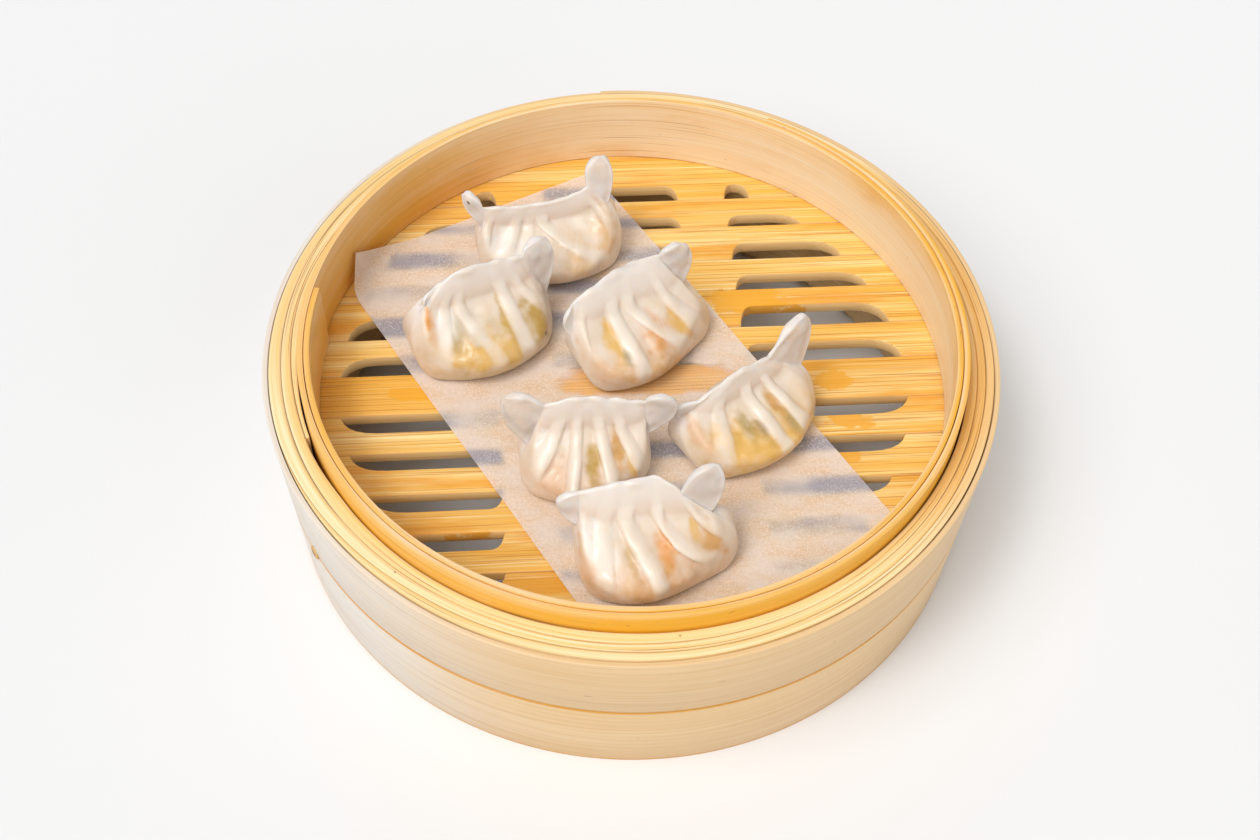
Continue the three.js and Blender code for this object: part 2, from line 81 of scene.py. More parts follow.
class Wire:
    """One value in a material: sums, differences and products of wires add their own Math nodes."""

    def __init__(self, tree, socket):
        self.tree = tree
        self.socket = socket

    def node(self, kind, settings=None, sockets=None, out=0):
        node = self.tree.nodes.new("ShaderNode" + kind)
        for name, value in (settings or {}).items():
            setattr(node, name, value)
        for key, value in (sockets or {}).items():
            if isinstance(value, Wire):
                self.tree.links.new(value.socket, node.inputs[key])
            else:
                node.inputs[key].default_value = value
        return Wire(self.tree, node.outputs[out])

    def maths(self, operation, first, second):
        return self.node("Math", {"operation": operation}, {0: first, 1: second})

    def __add__(self, other):
        return self.maths("ADD", self, other)

    def __sub__(self, other):
        return self.maths("SUBTRACT", self, other)

    def __rsub__(self, other):
        return self.maths("SUBTRACT", other, self)

    def __mul__(self, other):
        return self.maths("MULTIPLY", self, other)

    __radd__ = __add__
    __rmul__ = __mul__

    def step(self, low, high):
        """0 up to low, 1 from high on, and a smooth rise between them."""
        limits = {"Value": self, "From Min": low, "From Max": high}
        return self.node("MapRange", {"interpolation_type": "SMOOTHSTEP"}, limits)

    def scaled(self, across):
        return self.node("VectorMath", {"operation": "MULTIPLY"}, {0: self, 1: across})

    def cloud(self, across, detail=3.0, roughness=0.55):
        """Soft noise at so many waves a metre along each of the three directions."""
        sockets = {"Vector": self.scaled(across), "Scale": 1.0, "Detail": detail, "Roughness": roughness}
        return self.node("TexNoise", {}, sockets)

    def mix(self, below, above):
        return self.node("Mix", {"data_type": "RGBA"}, {0: self, 6: below, 7: above}, 2)

    def relief(self, strength, depth):
        """Fine relief with this wire as its height."""
        return self.node("Bump", {}, {"Strength": strength, "Distance": depth, "Height": self})

    def noted(self, name, kind="FLOAT"):
        """A value that the piece keeps for each of its points."""
        out = {"FLOAT_COLOR": 0, "FLOAT_VECTOR": 1, "FLOAT": 2}[kind]
        return self.node("Attribute", {"attribute_name": name}, {}, out)

    def place(self):
        return self.node("TexCoord", {}, {}, 3)

    def part(self, axis):
        return self.node("SeparateXYZ", {}, {0: self}, "XYZ".index(axis))


def shade(red, green, blue):
    """A colour as it looks on a screen, 0 to 255, as the shader's own numbers."""
    linear = [((v / 255 + 0.055) / 1.055) ** 2.4 if v > 10 else v / 3295 for v in (red, green, blue)]
    return (*linear, 1.0)


def new_finish(name, **fixed):
    """A material, its surface with the given fixed values, and a first wire to build from."""
    material = bpy.data.materials.new(name)
    material.use_nodes = True
    surface = material.node_tree.nodes["Principled BSDF"]
    for socket, value in fixed.items():
        surface.inputs[socket.replace("_", " ")].default_value = value
    return material, surface, Wire(material.node_tree, surface.outputs[0])


def feed(surface, **wires):
    for socket, wire in wires.items():
        surface.id_data.links.new(wire.socket, surface.inputs[socket.replace("_", " ")])


def bamboo(name, pale, warm, dark, aged_and_lit, specks=0.5, clouds=0.6, gloss=0.5, lines=0.3,
           cut_edges=(), seam=0.0):
    """Split bamboo: long fine fibres, short dark dashes, soft stains and a few brown specks.

    The attribute lie gives the place in the strip: along the fibre, across its face, and into it.
    A second attribute says where the strip takes the aged colour: real ageing on some pieces, painted light
    and shade on others. cut_edges gives the heights of edges that have browned in a thin line, and seam how
    dark the painted shade of the gap along the edge of the inner face is.
    """
    material, surface, start = new_finish(name, Coat_Weight=0.12, Coat_Roughness=0.35)
    burnt = shade(116, 70, 24)
    speckled = shade(120, 74, 34)
    gap_shade_brown = shade(84, 54, 24)
    golden = shade(222, 156, 44)
    lie = start.noted("lie", "FLOAT_VECTOR")
    age_and_light = start.noted("age_and_light")
    fibre = lie.cloud((9, 900, 1500), 4.0, 0.65)
    threads = lie.cloud((12, 2300, 2600), 2.0, 0.6)
    band = lie.cloud((5, 110, 260), 2.0, 0.5)
    stain = lie.cloud((16, 30, 60), 4.0, 0.6)
    colour = fibre.step(0.3, 0.72).mix(pale, warm)
    colour = (band.step(0.42, 0.75) * clouds).mix(colour, warm)
    colour = (stain.step(0.55, 0.8) * clouds * 0.6).mix(colour, dark)
    # The aged colour is real on the peg and on the hoop's outer face and top edge. It is painted cool light
    # on the bands' left, and painted shade on the hoop's left inside and partly on the rim's right.
    streaked = (fibre.step(0.48, 0.7) * 0.45).mix(aged_and_lit, dark)
    streaked = (band.step(0.5, 0.36) * 0.12).mix(streaked, pale)
    ageing_and_light = age_and_light * (0.7 + 0.6 * (stain - 0.5) + 0.4 * (fibre - 0.5))
    colour = ageing_and_light.step(0.0, 1.0).mix(colour, streaked)
    colour = (threads.step(0.57, 0.7) * lines).mix(colour, dark)
    colour = (threads.step(0.66, 0.72) * lines).mix(colour, burnt)
    fleck = lie.cloud((170, 420, 420), 2.0, 0.5).step(0.72, 0.78) * specks
    colour = fleck.mix(colour, speckled)
    # Painted shade: seam darkens the edge of each inner face, where the gaps between the wall's turns and
    # between band and wall lie in shadow.
    if seam:
        broken = lie.cloud((11, 30, 170), 3.0, 0.6).step(0.42, 0.62)
        gap_shade_mask = (1 - lie.part("Z").step(0.1 * MM, 0.4 * MM)) * (0.25 + broken)
        colour = (gap_shade_mask * seam).mix(colour, gap_shade_brown)
    height = lie.part("Y")
    for level in cut_edges:
        away = lie.node("Math", {"operation": "ABSOLUTE"}, {0: height - level})
        line = (1 - away.step(0.5 * MM, 1.6 * MM)) * (0.45 + stain)
        colour = line.mix(colour, golden)
    feed(surface, Base_Color=colour, Roughness=gloss - 0.12 + 0.24 * fibre)
    feed(surface, Normal=(fibre + 0.4 * threads).relief(0.5, 0.15 * MM))
    return material


def smooth_step(value, low, high):
    share = np.clip((value - low) / (high - low), 0.0, 1.0)
    return share * share * (3.0 - 2.0 * share)


def note(piece, name, kind, values):
    """Keeps one value for each point of a piece, for its finish to read."""
    layer = piece.data.attributes.new(name, kind, "POINT")
    field = {"FLOAT": "value", "FLOAT_VECTOR": "vector", "FLOAT_COLOR": "color"}[kind]
    layer.data.foreach_set(field, np.asarray(values, dtype=np.float32).ravel())


def points_of(piece):
    places = np.empty(len(piece.data.vertices) * 3, dtype=np.float32)
    piece.data.vertices.foreach_get("co", places)
    return places.reshape(-1, 3).astype(float)


def move_points(piece, places):
    piece.data.vertices.foreach_set("co", np.asarray(places, dtype=np.float32).ravel())
    piece.data.update()


def face_outwards():
    """Bending can turn the piece in hand inside out, so its faces are turned outwards again."""
    bpy.ops.object.mode_set(mode="EDIT")
    bpy.ops.mesh.select_all(action="SELECT")
    bpy.ops.mesh.normals_make_consistent(inside=False)
    bpy.ops.object.mode_set(mode="OBJECT")


def flat_strip(name, length, thickness, height, steps):
    """A straight strip along X with rounded edges, cut into short lengths so that it can be bent."""
    bpy.ops.object.select_all(action="DESELECT")
    bpy.ops.mesh.primitive_cube_add(size=1)
    strip = bpy.context.object
    strip.name = strip.data.name = name
    bpy.ops.object.mode_set(mode="EDIT")
    bpy.ops.mesh.select_mode(type="EDGE")
    bpy.ops.transform.resize(value=(length, thickness, height))
    bpy.ops.mesh.bevel(offset=STRIP_EDGE, segments=2)
    for cuts in (STRIP_CUTS - 1, max(1, round(steps / STRIP_CUTS) - 1)):
        cage = bmesh.from_edit_mesh(strip.data)
        for edge in cage.edges:
            run = edge.verts[1].co - edge.verts[0].co
            edge.select_set(abs(run.x) > 0.99 * run.length and run.length > 3 * STRIP_EDGE)
        bmesh.update_edit_mesh(strip.data)
        bpy.ops.mesh.subdivide(number_cuts=cuts)
    bpy.ops.object.mode_set(mode="OBJECT")
    return strip


def wound_strip(name, start, end, inner, outer, bottom, top, age_and_light, wobble=0.0):
    """A strip bent round the Z axis between two angles in degrees, its faces given by angle and height.

    The function given after top says, at an angle, a height and a depth from the inner face, how far the
    strip
    takes its aged colour: real ageing on some pieces, painted light and shade on others.
    """
    middle = np.array([(start + end) / 2])
    level = np.array([(bottom + top) / 2])
    radius = (inner(middle, level)[0] + outer(middle, level)[0]) / 2
    thickness = outer(middle, level)[0] - inner(middle, level)[0]
    length = math.radians(end - start) * radius
    height = top - bottom
    strip = flat_strip(name, length, thickness, height, (end - start) / STRIP_STEP)
    flat = points_of(strip)
    along = flat[:, 0] / length + 0.5
    into = flat[:, 1] / thickness + 0.5
    angle = start + (end - start) * along
    rise = bottom + flat[:, 2] + height / 2
    reach = inner(angle, rise) + (outer(angle, rise) - inner(angle, rise)) * into
    shift = radius * WOBBLE_SHIFT
    wave = np.array([noise.noise(Vector((turn / WOBBLE_SPAN, shift, 0.5))) for turn in angle])
    rise = rise + wobble * wave * (rise - bottom) / height
    way = np.radians(angle)
    move_points(strip, np.stack([reach * np.cos(way), reach * np.sin(way), rise], axis=1))
    face_outwards()
    note(strip, "lie", "FLOAT_VECTOR", np.stack([along * length, rise, into * thickness], axis=1))
    note(strip, "age_and_light", "FLOAT", age_and_light(angle, rise, into))
    bpy.ops.object.shade_smooth_by_angle(angle=STRIP_CORNER)
    return strip


def towards(angle, middle, low, high):
    """1 on the side of the basket at the angle called middle, and 0 where its cosine is below low."""
    return smooth_step(np.cos(np.radians(angle - middle)), low, high)


def outside_at(rise):
    return OUTER_RADIUS - FOOT_TAPER * (1 - rise / BAND_TOP)


def hoop_face(angle):
    return HOOP_RADIUS + HOOP_PITCH * (angle - HOOP_END_AT) / 360


def wall_inside(angle):
    """The wall bears on the outer turn of the inner hoop, and beyond that turn's end closes up again."""
    hoop_end = HOOP_END_AT + 360 * (HOOP_TURNS - 1)
    share = np.clip((angle - hoop_end) / (WALL_END_AT + 360 - hoop_end), 0, 1)
    first, last = (hoop_face(turn + 360) for turn in (np.minimum(angle, hoop_end), WALL_END_AT))
    return first + (last - first) * share + HOOP_PLY + WALL_SLIT


def turn_edge(angle, rise, turns_in):
    """Radius of the face between two turns, so many turns in from the start of the strip."""
    turns = (angle - WALL_END_AT) / 360 + turns_in
    inside = wall_inside(WALL_END_AT + (angle - WALL_END_AT) % 360)
    room = outside_at(rise) - BAND_THICKNESS - GAP - inside
    feathered = smooth_step(turns, WALL_TURNS - WALL_FEATHER, WALL_TURNS)
    share = np.interp(turns, TURNS_IN, TURN_SHARES) * (1 - feathered)
    wedge = WALL_END_STEP * feathered * (1 - smooth_step(turns - WALL_TURNS, 0, WALL_END_SPAN / 360))
    return inside + room * share + wedge


def turn_inside(angle, rise):
    return np.minimum(turn_edge(angle, rise, 1) + TURN_GAP, turn_edge(angle, rise, 0) - THINNEST)


def turn_outside(angle, rise):
    return turn_edge(angle, rise, 0)


def rim_gold_and_shade(angle, rise, into):
    """Golden at the right: partly the rim's own golden wood, partly painted shade where the inner hoop
    shades the rim.
    """
    return 0.9 * towards(angle, 0, 0.6, 1.0)


wall = wound_strip("wall_turns", WALL_END_AT, WALL_END_AT + 360 * WALL_TURNS, turn_inside, turn_outside,
                   0.0, WALL_TOP, rim_gold_and_shade, STRIP_WOBBLE)
# The rim's aged colour at the right is partly painted shade, and seam paints shade into the gaps between
# its turns.
wall.data.materials.append(bamboo(
    "rim_bamboo", pale=shade(254, 234, 192), warm=shade(242, 200, 124), dark=shade(204, 146, 64),
    aged_and_lit=shade(224, 158, 54), specks=0.8, clouds=0.7, gloss=0.5, lines=0.55, seam=0.4))
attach(wall, "root")
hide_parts("wall_hoop")


# Outer bands. Two wide bamboo strips, one above the other, bent round the wall and lapped on themselves
# at the back; the thinned end leaves a small step there, and a thin line shows where the bands meet.
BAND_SEAM_HEIGHT = 37.5 * MM
BAND_LAP = 0.9 * MM
BAND_LAP_SPAN = 60
UPPER_LAP_AT = 97
LOWER_LAP_AT = 75


def outer_band(name, lap_at, bottom, top):
    def face(angle, rise):
        return outside_at(rise) - BAND_LAP * (1 - smooth_step(angle - lap_at, 0, BAND_LAP_SPAN))

    def back(angle, rise):
        return outside_at(rise) - BAND_THICKNESS

    def age_and_light(angle, rise, into):
        """Painted light: paler and greyer at the left, standing in for cool light falling on that side."""
        return 1.2 * towards(angle, 185, 0.15, 0.9)

    return wound_strip(name, lap_at, lap_at + 360, back, face, bottom, top, age_and_light, STRIP_WOBBLE)


# The bands' aged colour is painted cool light on their left; seam paints the shade of the gap against the
# wall.
band_finish = bamboo(
    "band_bamboo", pale=shade(236, 204, 158), warm=shade(226, 186, 130), dark=shade(196, 146, 84),
    aged_and_lit=shade(232, 226, 218), specks=0.3, clouds=0.5, gloss=0.48, lines=0.2,
    cut_edges=(0.0, BAND_SEAM_HEIGHT), seam=0.55)
upper_band = outer_band("upper_band", UPPER_LAP_AT, BAND_SEAM_HEIGHT + GAP / 2, BAND_TOP)
lower_band = outer_band("lower_band", LOWER_LAP_AT, 0.0, BAND_SEAM_HEIGHT - GAP / 2)
for band, node in ((upper_band, "outer_band_upper"), (lower_band, "outer_band_lower")):
    band.data.materials.append(band_finish)
    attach(band, "root")
    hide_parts(node)


# Peg. A round pin of split bamboo driven through the bands and the wall at the left.
# Its end, pale round a brown middle, stands just proud of the band.
PEG_AT = 213
PEG_LENGTH = 3 * MM
PEG_PROUD = 0.45 * MM
PEG_SIDES = 28
PEG_ROUNDING = ((0.2, 0.25 * MM), (0.35, 0.1 * MM))
PEG_BROWN = (0.45, 0.8)
PEG_CORNER = math.radians(50)
peg_low, peg_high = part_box("band_peg")
peg_height = (peg_low[2] + peg_high[2]) / 2
peg_radius = (peg_high[2] - peg_low[2]) / 2
peg_turn = math.radians(PEG_AT)
peg_way = np.array((math.cos(peg_turn), math.sin(peg_turn), 0))

bpy.ops.object.select_all(action="DESELECT")
bpy.ops.mesh.primitive_cylinder_add(vertices=PEG_SIDES, radius=peg_radius, depth=PEG_LENGTH)
peg = bpy.context.object
peg.name = peg.data.name = "wall_peg"
bpy.ops.object.mode_set(mode="EDIT")
bpy.ops.mesh.select_mode(type="FACE")
cage = bmesh.from_edit_mesh(peg.data)
for face in cage.faces:
    face.select_set(face.normal.z > 0.9)
bmesh.update_edit_mesh(peg.data)
for inset, rise in PEG_ROUNDING:
    bpy.ops.mesh.inset(thickness=peg_radius * inset)
    bpy.ops.transform.translate(value=(0, 0, rise))
bpy.ops.object.mode_set(mode="OBJECT")
turn_out = Matrix.Rotation(peg_turn, 4, "Z") @ Matrix.Rotation(math.pi / 2, 4, "Y")
peg_middle = np.array((0, 0, peg_height))
peg_end = peg_middle + (outside_at(peg_height) + PEG_PROUD) * peg_way
peg.data.transform(Matrix.Translation(peg_end) @ turn_out @ Matrix.Translation((0, 0, -PEG_LENGTH / 2)))
bpy.ops.object.shade_smooth_by_angle(angle=PEG_CORNER)
note(peg, "lie", "FLOAT_VECTOR", points_of(peg)[:, [2, 0, 1]])
from_middle = np.linalg.norm(np.cross(points_of(peg) - peg_middle, peg_way), axis=1)
note(peg, "age_and_light", "FLOAT", 1 - smooth_step(from_middle / peg_radius, *PEG_BROWN))
peg.data.materials.append(bamboo(
    "peg_bamboo", pale=shade(232, 196, 136), warm=shade(206, 160, 96), dark=shade(150, 98, 44),
    aged_and_lit=shade(126, 76, 30), specks=0.6))
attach(peg, "root")
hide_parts("band_peg")


# Support hoop. A plain bamboo strip bent round inside the wall, under the floor.
# The boards rest on its upper edge, so only the steam slots show any of it.
SUPPORT_THICKNESS = 4.7 * MM
SUPPORT_FROM = 20
support_low, support_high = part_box("support_hoop")
support_radius = support_high[0]

support = wound_strip("support_strip", SUPPORT_FROM, SUPPORT_FROM + 360,
                      lambda angle, rise: support_radius - SUPPORT_THICKNESS + 0 * angle,
                      lambda angle, rise: support_radius + 0 * angle,
                      support_low[2], support_high[2], lambda angle, rise, into: 0 * angle)
support.data.materials.append(bamboo(
    "hidden_bamboo", pale=shade(236, 205, 150), warm=shade(214, 170, 104), dark=shade(170, 118, 62),
    aged_and_lit=shade(200, 150, 80)))
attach(support, "root")
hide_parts("support_hoop")


# Floor. Twelve damp bamboo boards laid side by side, their edges cut out so that each joint
# leaves round-cornered steam slots. They rest on the support hoop, held down by the inner hoop.
BOARD_TURN = math.radians(5)
BOARD_EDGE = 0.45 * MM
BOARD_CORNER = math.radians(50)
BOARD_SMOOTH = math.radians(30)
SAME_POINT = 0.01 * MM
SAME_FACE = math.radians(1)
BOARDS = 12
FLOOR_TOP = 50 * MM
GRAIN_SHIFT = 0.37
# The third board's pale tone is a painted reflection of the light on the back boards; the others are each
# board's own tone.
BOARD_TONES_AND_SHEEN = (0.6, 0.5, 0.1, 0.4, 0.6, 0.3, 0.7, 0.4, 0.3, 0.5, 0.6, 0.7)
# Each wet place: its middle, and how far it reaches to the sides and to front and back, in millimetres.
WET_PLACES = ((77, -14.7, 9, 5), (71.4, 3, 6, 4), (74.4, -30.7, 5, 3), (42, 39.6, 17, 7),
              (-78, -9.7, 10, 3), (-52, -69.5, 10, 4))


def damp_boards():
    """Yellow bamboo with straight grain, a tone for each board, the third board's pale tone a painted
    reflection, and glossy amber where water stood.
    """
    material, surface, start = new_finish("floor_bamboo", Coat_Weight=0.2, Coat_Roughness=0.25)
    lie = start.noted("lie", "FLOAT_VECTOR")
    tone = start.noted("tone")
    place = start.place()
    fibre = lie.cloud((6, 1000, 1000), 4.0, 0.65)
    threads = lie.cloud((12, 1700, 1700), 2.0, 0.6)
    band = lie.cloud((5, 160, 160), 3.0, 0.6)
    stain = lie.cloud((14, 75, 75), 4.0, 0.6)
    pale = shade(255, 233, 172)
    warm = shade(240, 178, 66)
    dark = shade(190, 116, 22)
    stained = shade(230, 154, 36)
    cut_face = shade(250, 218, 160)
    soaked = shade(236, 166, 36)
    colour = (tone * 0.95).mix(shade(246, 203, 114), shade(230, 163, 44))
    colour = (fibre.step(0.5, 0.32) * 0.85).mix(colour, pale)
    colour = (band.step(0.45, 0.64) * 0.7).mix(colour, warm)
    colour = (band.step(0.5, 0.36) * 0.35).mix(colour, pale)
    colour = (threads.step(0.52, 0.64) * 0.7).mix(colour, dark)
    colour = (stain.step(0.52, 0.7) * 0.75).mix(colour, stained)
    upright = start.node("NewGeometry", {}, {}, 1).part("Z")
    colour = (upright.step(0.75, 0.3) * 0.7).mix(colour, cut_face)
    ragged = place.cloud((90, 160, 90), 4.0, 0.6)
    wet = None
    for x, y, reach_x, reach_y in WET_PLACES:
        middle = (x * MM, y * MM, FLOOR_TOP)
        offset = place.node("VectorMath", {"operation": "SUBTRACT"}, {0: place, 1: middle})
        scaled = offset.scaled((1 / (reach_x * MM), 1 / (reach_y * MM), 0))
        length = scaled.node("VectorMath", {"operation": "LENGTH"}, {0: scaled}, 1)
        patch = 1 - (length + 2.6 * (ragged - 0.5)).step(0.85, 1.05)
        wet = patch if wet is None else wet.maths("MAXIMUM", wet, patch)
    colour = (wet * 0.85).mix(colour, soaked)
    feed(surface, Base_Color=colour, Roughness=0.5 + 0.15 * fibre - 0.25 * wet)
    feed(surface, Normal=(fibre + 0.4 * threads).relief(0.5, 0.15 * MM))
    return material


board_finish = damp_boards()
for number in range(1, BOARDS + 1):
    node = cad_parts[f"floor_board_{number:02d}"]
    board = node.copy()
    board.data = node.data.copy()
    board.name = board.data.name = f"board_{number:02d}"
    bpy.context.collection.objects.link(board)
    board.parent = None
    board.matrix_world = Matrix.Identity(4)
    board.data.materials.clear()
    bpy.ops.object.select_all(action="DESELECT")
    board.select_set(True)
    bpy.context.view_layer.objects.active = board
    bpy.ops.object.mode_set(mode="EDIT")
    bpy.ops.mesh.select_all(action="SELECT")
    bpy.ops.mesh.remove_doubles(threshold=SAME_POINT)
    bpy.ops.mesh.dissolve_limited(angle_limit=SAME_FACE)
    bpy.ops.object.mode_set(mode="OBJECT")
    bevel = board.modifiers.new("edge", "BEVEL")
    bevel.width = BOARD_EDGE
    bevel.segments = 2
    bevel.limit_method = "ANGLE"
    bevel.angle_limit = BOARD_CORNER
    bpy.ops.object.modifier_apply(modifier="edge")
    bpy.ops.object.shade_smooth_by_angle(angle=BOARD_SMOOTH)
    spot = points_of(board)
    along = spot[:, 0] * math.cos(BOARD_TURN) + spot[:, 1] * math.sin(BOARD_TURN)
    across = spot[:, 1] * math.cos(BOARD_TURN) - spot[:, 0] * math.sin(BOARD_TURN)
    lie = np.stack([along + GRAIN_SHIFT * number, across, spot[:, 2]], axis=1)
    note(board, "lie", "FLOAT_VECTOR", lie)
    # The tone carries each board's own tone and, on the third board, a painted reflection.
    note(board, "tone", "FLOAT", np.full(len(spot), BOARD_TONES_AND_SHEEN[number - 1]))
    board.data.materials.append(board_finish)
    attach(board, "root")
    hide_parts(node.name)


# Inner hoop. One thin bamboo strip wound 1.7 times inside the wall, standing above the rim,
# so that the next basket sits over it. Its square-cut inner end shows at the left.
HOOP_TOP = 79.6 * MM
HOOP_WOBBLE = 0.3 * MM
GOLD_BELOW_TOP = (9 * MM, 4 * MM)


def hoop_gold_and_shade(angle, rise, into):
    """Golden skin on the outer face and along the top edge, and painted shade at the left, where the inside
    lies in shadow.
    """
    outer_face = 1.3 * smooth_step(into, 0.4, 0.8)
    # Painted shade: the inside at the left is golden because it lies in shadow and takes golden light
    # bounced off the bamboo.
    left = 1.1 * towards(angle, 175, 0, 0.95)
    top_edge = 0.8 * smooth_step(rise, HOOP_TOP - GOLD_BELOW_TOP[0], HOOP_TOP - GOLD_BELOW_TOP[1])
    return np.maximum.reduce([outer_face, left, top_edge])


hoop = wound_strip("inner_strip", HOOP_END_AT, HOOP_END_AT + 360 * HOOP_TURNS,
                   lambda angle, rise: hoop_face(angle),
                   lambda angle, rise: hoop_face(angle) + HOOP_PLY,
                   FLOOR_TOP + GAP, HOOP_TOP, hoop_gold_and_shade, HOOP_WOBBLE)
hoop.data.materials.append(bamboo(
    "hoop_bamboo", pale=shade(255, 248, 232), warm=shade(252, 236, 204), dark=shade(226, 172, 86),
    aged_and_lit=shade(241, 175, 38), specks=0.4, clouds=0.9, gloss=0.45, lines=0.6))
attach(hoop, "root")
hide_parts("inner_hoop")


# Paper liner. One strip of frosted greaseproof paper, laid slantwise on the boards under the dumplings.
# It is damp, so it clings and lets the boards show softly; the slots' shaded hollows show both through it
# and as painted shade in its colour, and its back corner bends up the hoop.
PAPER_TURN = math.radians(34.4)
PAPER_LEFT = -65 * MM
PAPER_RIGHT = 43 * MM
PAPER_BACK = 97.5 * MM
PAPER_BACK_SLOPE = 0.075
PAPER_FRONT_RADIUS = 107 * MM
PAPER_THICKNESS = 0.25 * MM
PAPER_WAVE = 0.25 * MM
WAVES_ACROSS = 0.11 / MM
WAVES_ALONG = 0.07 / MM
WAVES_SLANT = 0.03 / MM
PAPER_RIPPLE = 0.12 * MM
RIPPLES_A_METRE = 60
PAPER_BEND_FROM = 104 * MM
PAPER_BEND_RADIUS = 5 * MM
PAPER_BEND_ANGLE = 1.4
PAPER_LYING = 0.5 * MM
PAPER_CORNER = math.radians(40)
PAPER_CELLS = (90, 170)
# The boards' joints from back to front and how deep each row of slots is, in millimetres.
JOINTS = (87.5, 73, 56, 41, 23, 6.5, -11.5, -28, -45.5, -62, -78)
SLOT_DEPTHS = (7.3, 5.2, 7.6, 6.6, 9.4, 8, 7.2, 6.8, 6.8, 6.6, 5.2)
FRONT_SLOTS_FROM = 6
SLOT_CENTRE = (-2.3 * MM, 2 * MM)
SLOT_CIRCLE = 101 * MM
MIDDLE_SLOT_HALF = 26 * MM
SIDE_SLOT_START = 44 * MM
SOFT_EDGE = 3.2 * MM
SOAKED_MIDDLE = 7 * MM
SOAKED_REACH = (34 * MM, 8 * MM)
SOAKED_SLOPE = 0.06


def over_slots(places):
    """How far each point of the paper lies over an open slot, with soft edges."""
    along = places[:, 0] * math.cos(BOARD_TURN) + places[:, 1] * math.sin(BOARD_TURN) - SLOT_CENTRE[0]
    across = places[:, 1] * math.cos(BOARD_TURN) - places[:, 0] * math.sin(BOARD_TURN)
    shown = np.zeros(len(places))
    for index, (joint, depth) in enumerate(zip(JOINTS, SLOT_DEPTHS)):
        low = (joint if index < FRONT_SLOTS_FROM else joint - depth) * MM
        high = low + depth * MM
        reach = math.sqrt(SLOT_CIRCLE ** 2 - (joint * MM - SLOT_CENTRE[1]) ** 2)
        row = np.minimum(across - low, high - across)
        middle = min(MIDDLE_SLOT_HALF, reach) - np.abs(along)
        side = np.minimum(np.abs(along) - SIDE_SLOT_START, reach - np.abs(along))
        inside = np.minimum(row, np.maximum(middle, side))
        shown = np.maximum(shown, smooth_step(inside, -SOFT_EDGE, SOFT_EDGE))
    return shown


def damp_paper():
    """Frosted paper: pinkish white, with painted shade greyer over the slots, nearly clear where it is
    soaked.
    """
    material, surface, start = new_finish("damp_paper", Coat_Weight=0.05)
    damp, dry = shade(247, 220, 186), shade(247, 232, 218)
    slot_shadow_grey = shade(172, 168, 180)
    frosted = shade(253, 248, 245)
    place = start.place()
    slot = start.noted("over_slot")
    soaked = start.noted("soaked")
    fibre = place.cloud((900, 900, 900), 3.0, 0.7)
    blotch = place.cloud((60, 110, 60), 4.0, 0.6)
    speck = place.cloud((1700, 1700, 1700), 4.0, 0.75)
    frost = speck.step(0.46, 0.7) * blotch.step(0.3, 0.62)
    cling = place.cloud((24, 40, 24), 2.0, 0.5).step(0.36, 0.62)
    # Painted shade: over the slots the paper is painted grey for the shaded hollow beneath it.
    over = (slot * (0.35 + 0.65 * cling) + 0.6 * (blotch - 0.5) + 0.3 * (fibre - 0.5)).step(0.1, 0.9)
    colour = blotch.step(0.35, 0.68).mix(dry, damp)
    colour = (over * 0.9).mix(colour, slot_shadow_grey)
    colour = (frost * 0.65).mix(colour, frosted)
    clear = (soaked + 0.8 * (blotch - 0.5)).step(0.35, 0.75)
    veil = 0.56 + 0.3 * (fibre - 0.5) + 0.4 * (0.5 - blotch) + 0.2 * frost
    feed(surface, Base_Color=colour, Roughness=0.55 - 0.3 * clear, Alpha=veil * (1 - 0.8 * clear))
    feed(surface, Normal=(fibre + 2.0 * blotch).relief(0.4, 0.12 * MM))
    return material


bpy.ops.object.select_all(action="DESELECT")
bpy.ops.mesh.primitive_grid_add(x_subdivisions=PAPER_CELLS[0], y_subdivisions=PAPER_CELLS[1], size=1)
paper = bpy.context.object
paper.name = paper.data.name = "paper_strip"
grid = points_of(paper)
flat_x = PAPER_LEFT + (PAPER_RIGHT - PAPER_LEFT) * (grid[:, 0] + 0.5)
front_edge = -np.sqrt(PAPER_FRONT_RADIUS ** 2 - flat_x ** 2)
back_edge = PAPER_BACK - PAPER_BACK_SLOPE * flat_x
flat_y = front_edge + (back_edge - front_edge) * (grid[:, 1] + 0.5)
reach = np.hypot(flat_x, flat_y)
past = np.maximum(0, reach - PAPER_BEND_FROM)
bent = np.minimum(PAPER_BEND_ANGLE, past / PAPER_BEND_RADIUS)
straight = past - bent * PAPER_BEND_RADIUS
out = PAPER_BEND_RADIUS * np.sin(bent) + straight * np.cos(bent)
lift = PAPER_BEND_RADIUS * (1 - np.cos(bent)) + straight * np.sin(bent)
wave = 1 + np.sin(flat_x * WAVES_ACROSS) * np.cos(flat_y * WAVES_ALONG + flat_x * WAVES_SLANT)
ripple = np.array([noise.noise(Vector((x * RIPPLES_A_METRE, y * RIPPLES_A_METRE, 3.0)))
                   for x, y in zip(flat_x, flat_y)])
radius = np.minimum(reach, PAPER_BEND_FROM) + out
turned = np.arctan2(flat_y, flat_x) + PAPER_TURN
level = FLOOR_TOP + GAP + lift + PAPER_WAVE * wave + PAPER_RIPPLE * ripple
laid = np.stack([radius * np.cos(turned), radius * np.sin(turned), level], axis=1)
move_points(paper, laid)
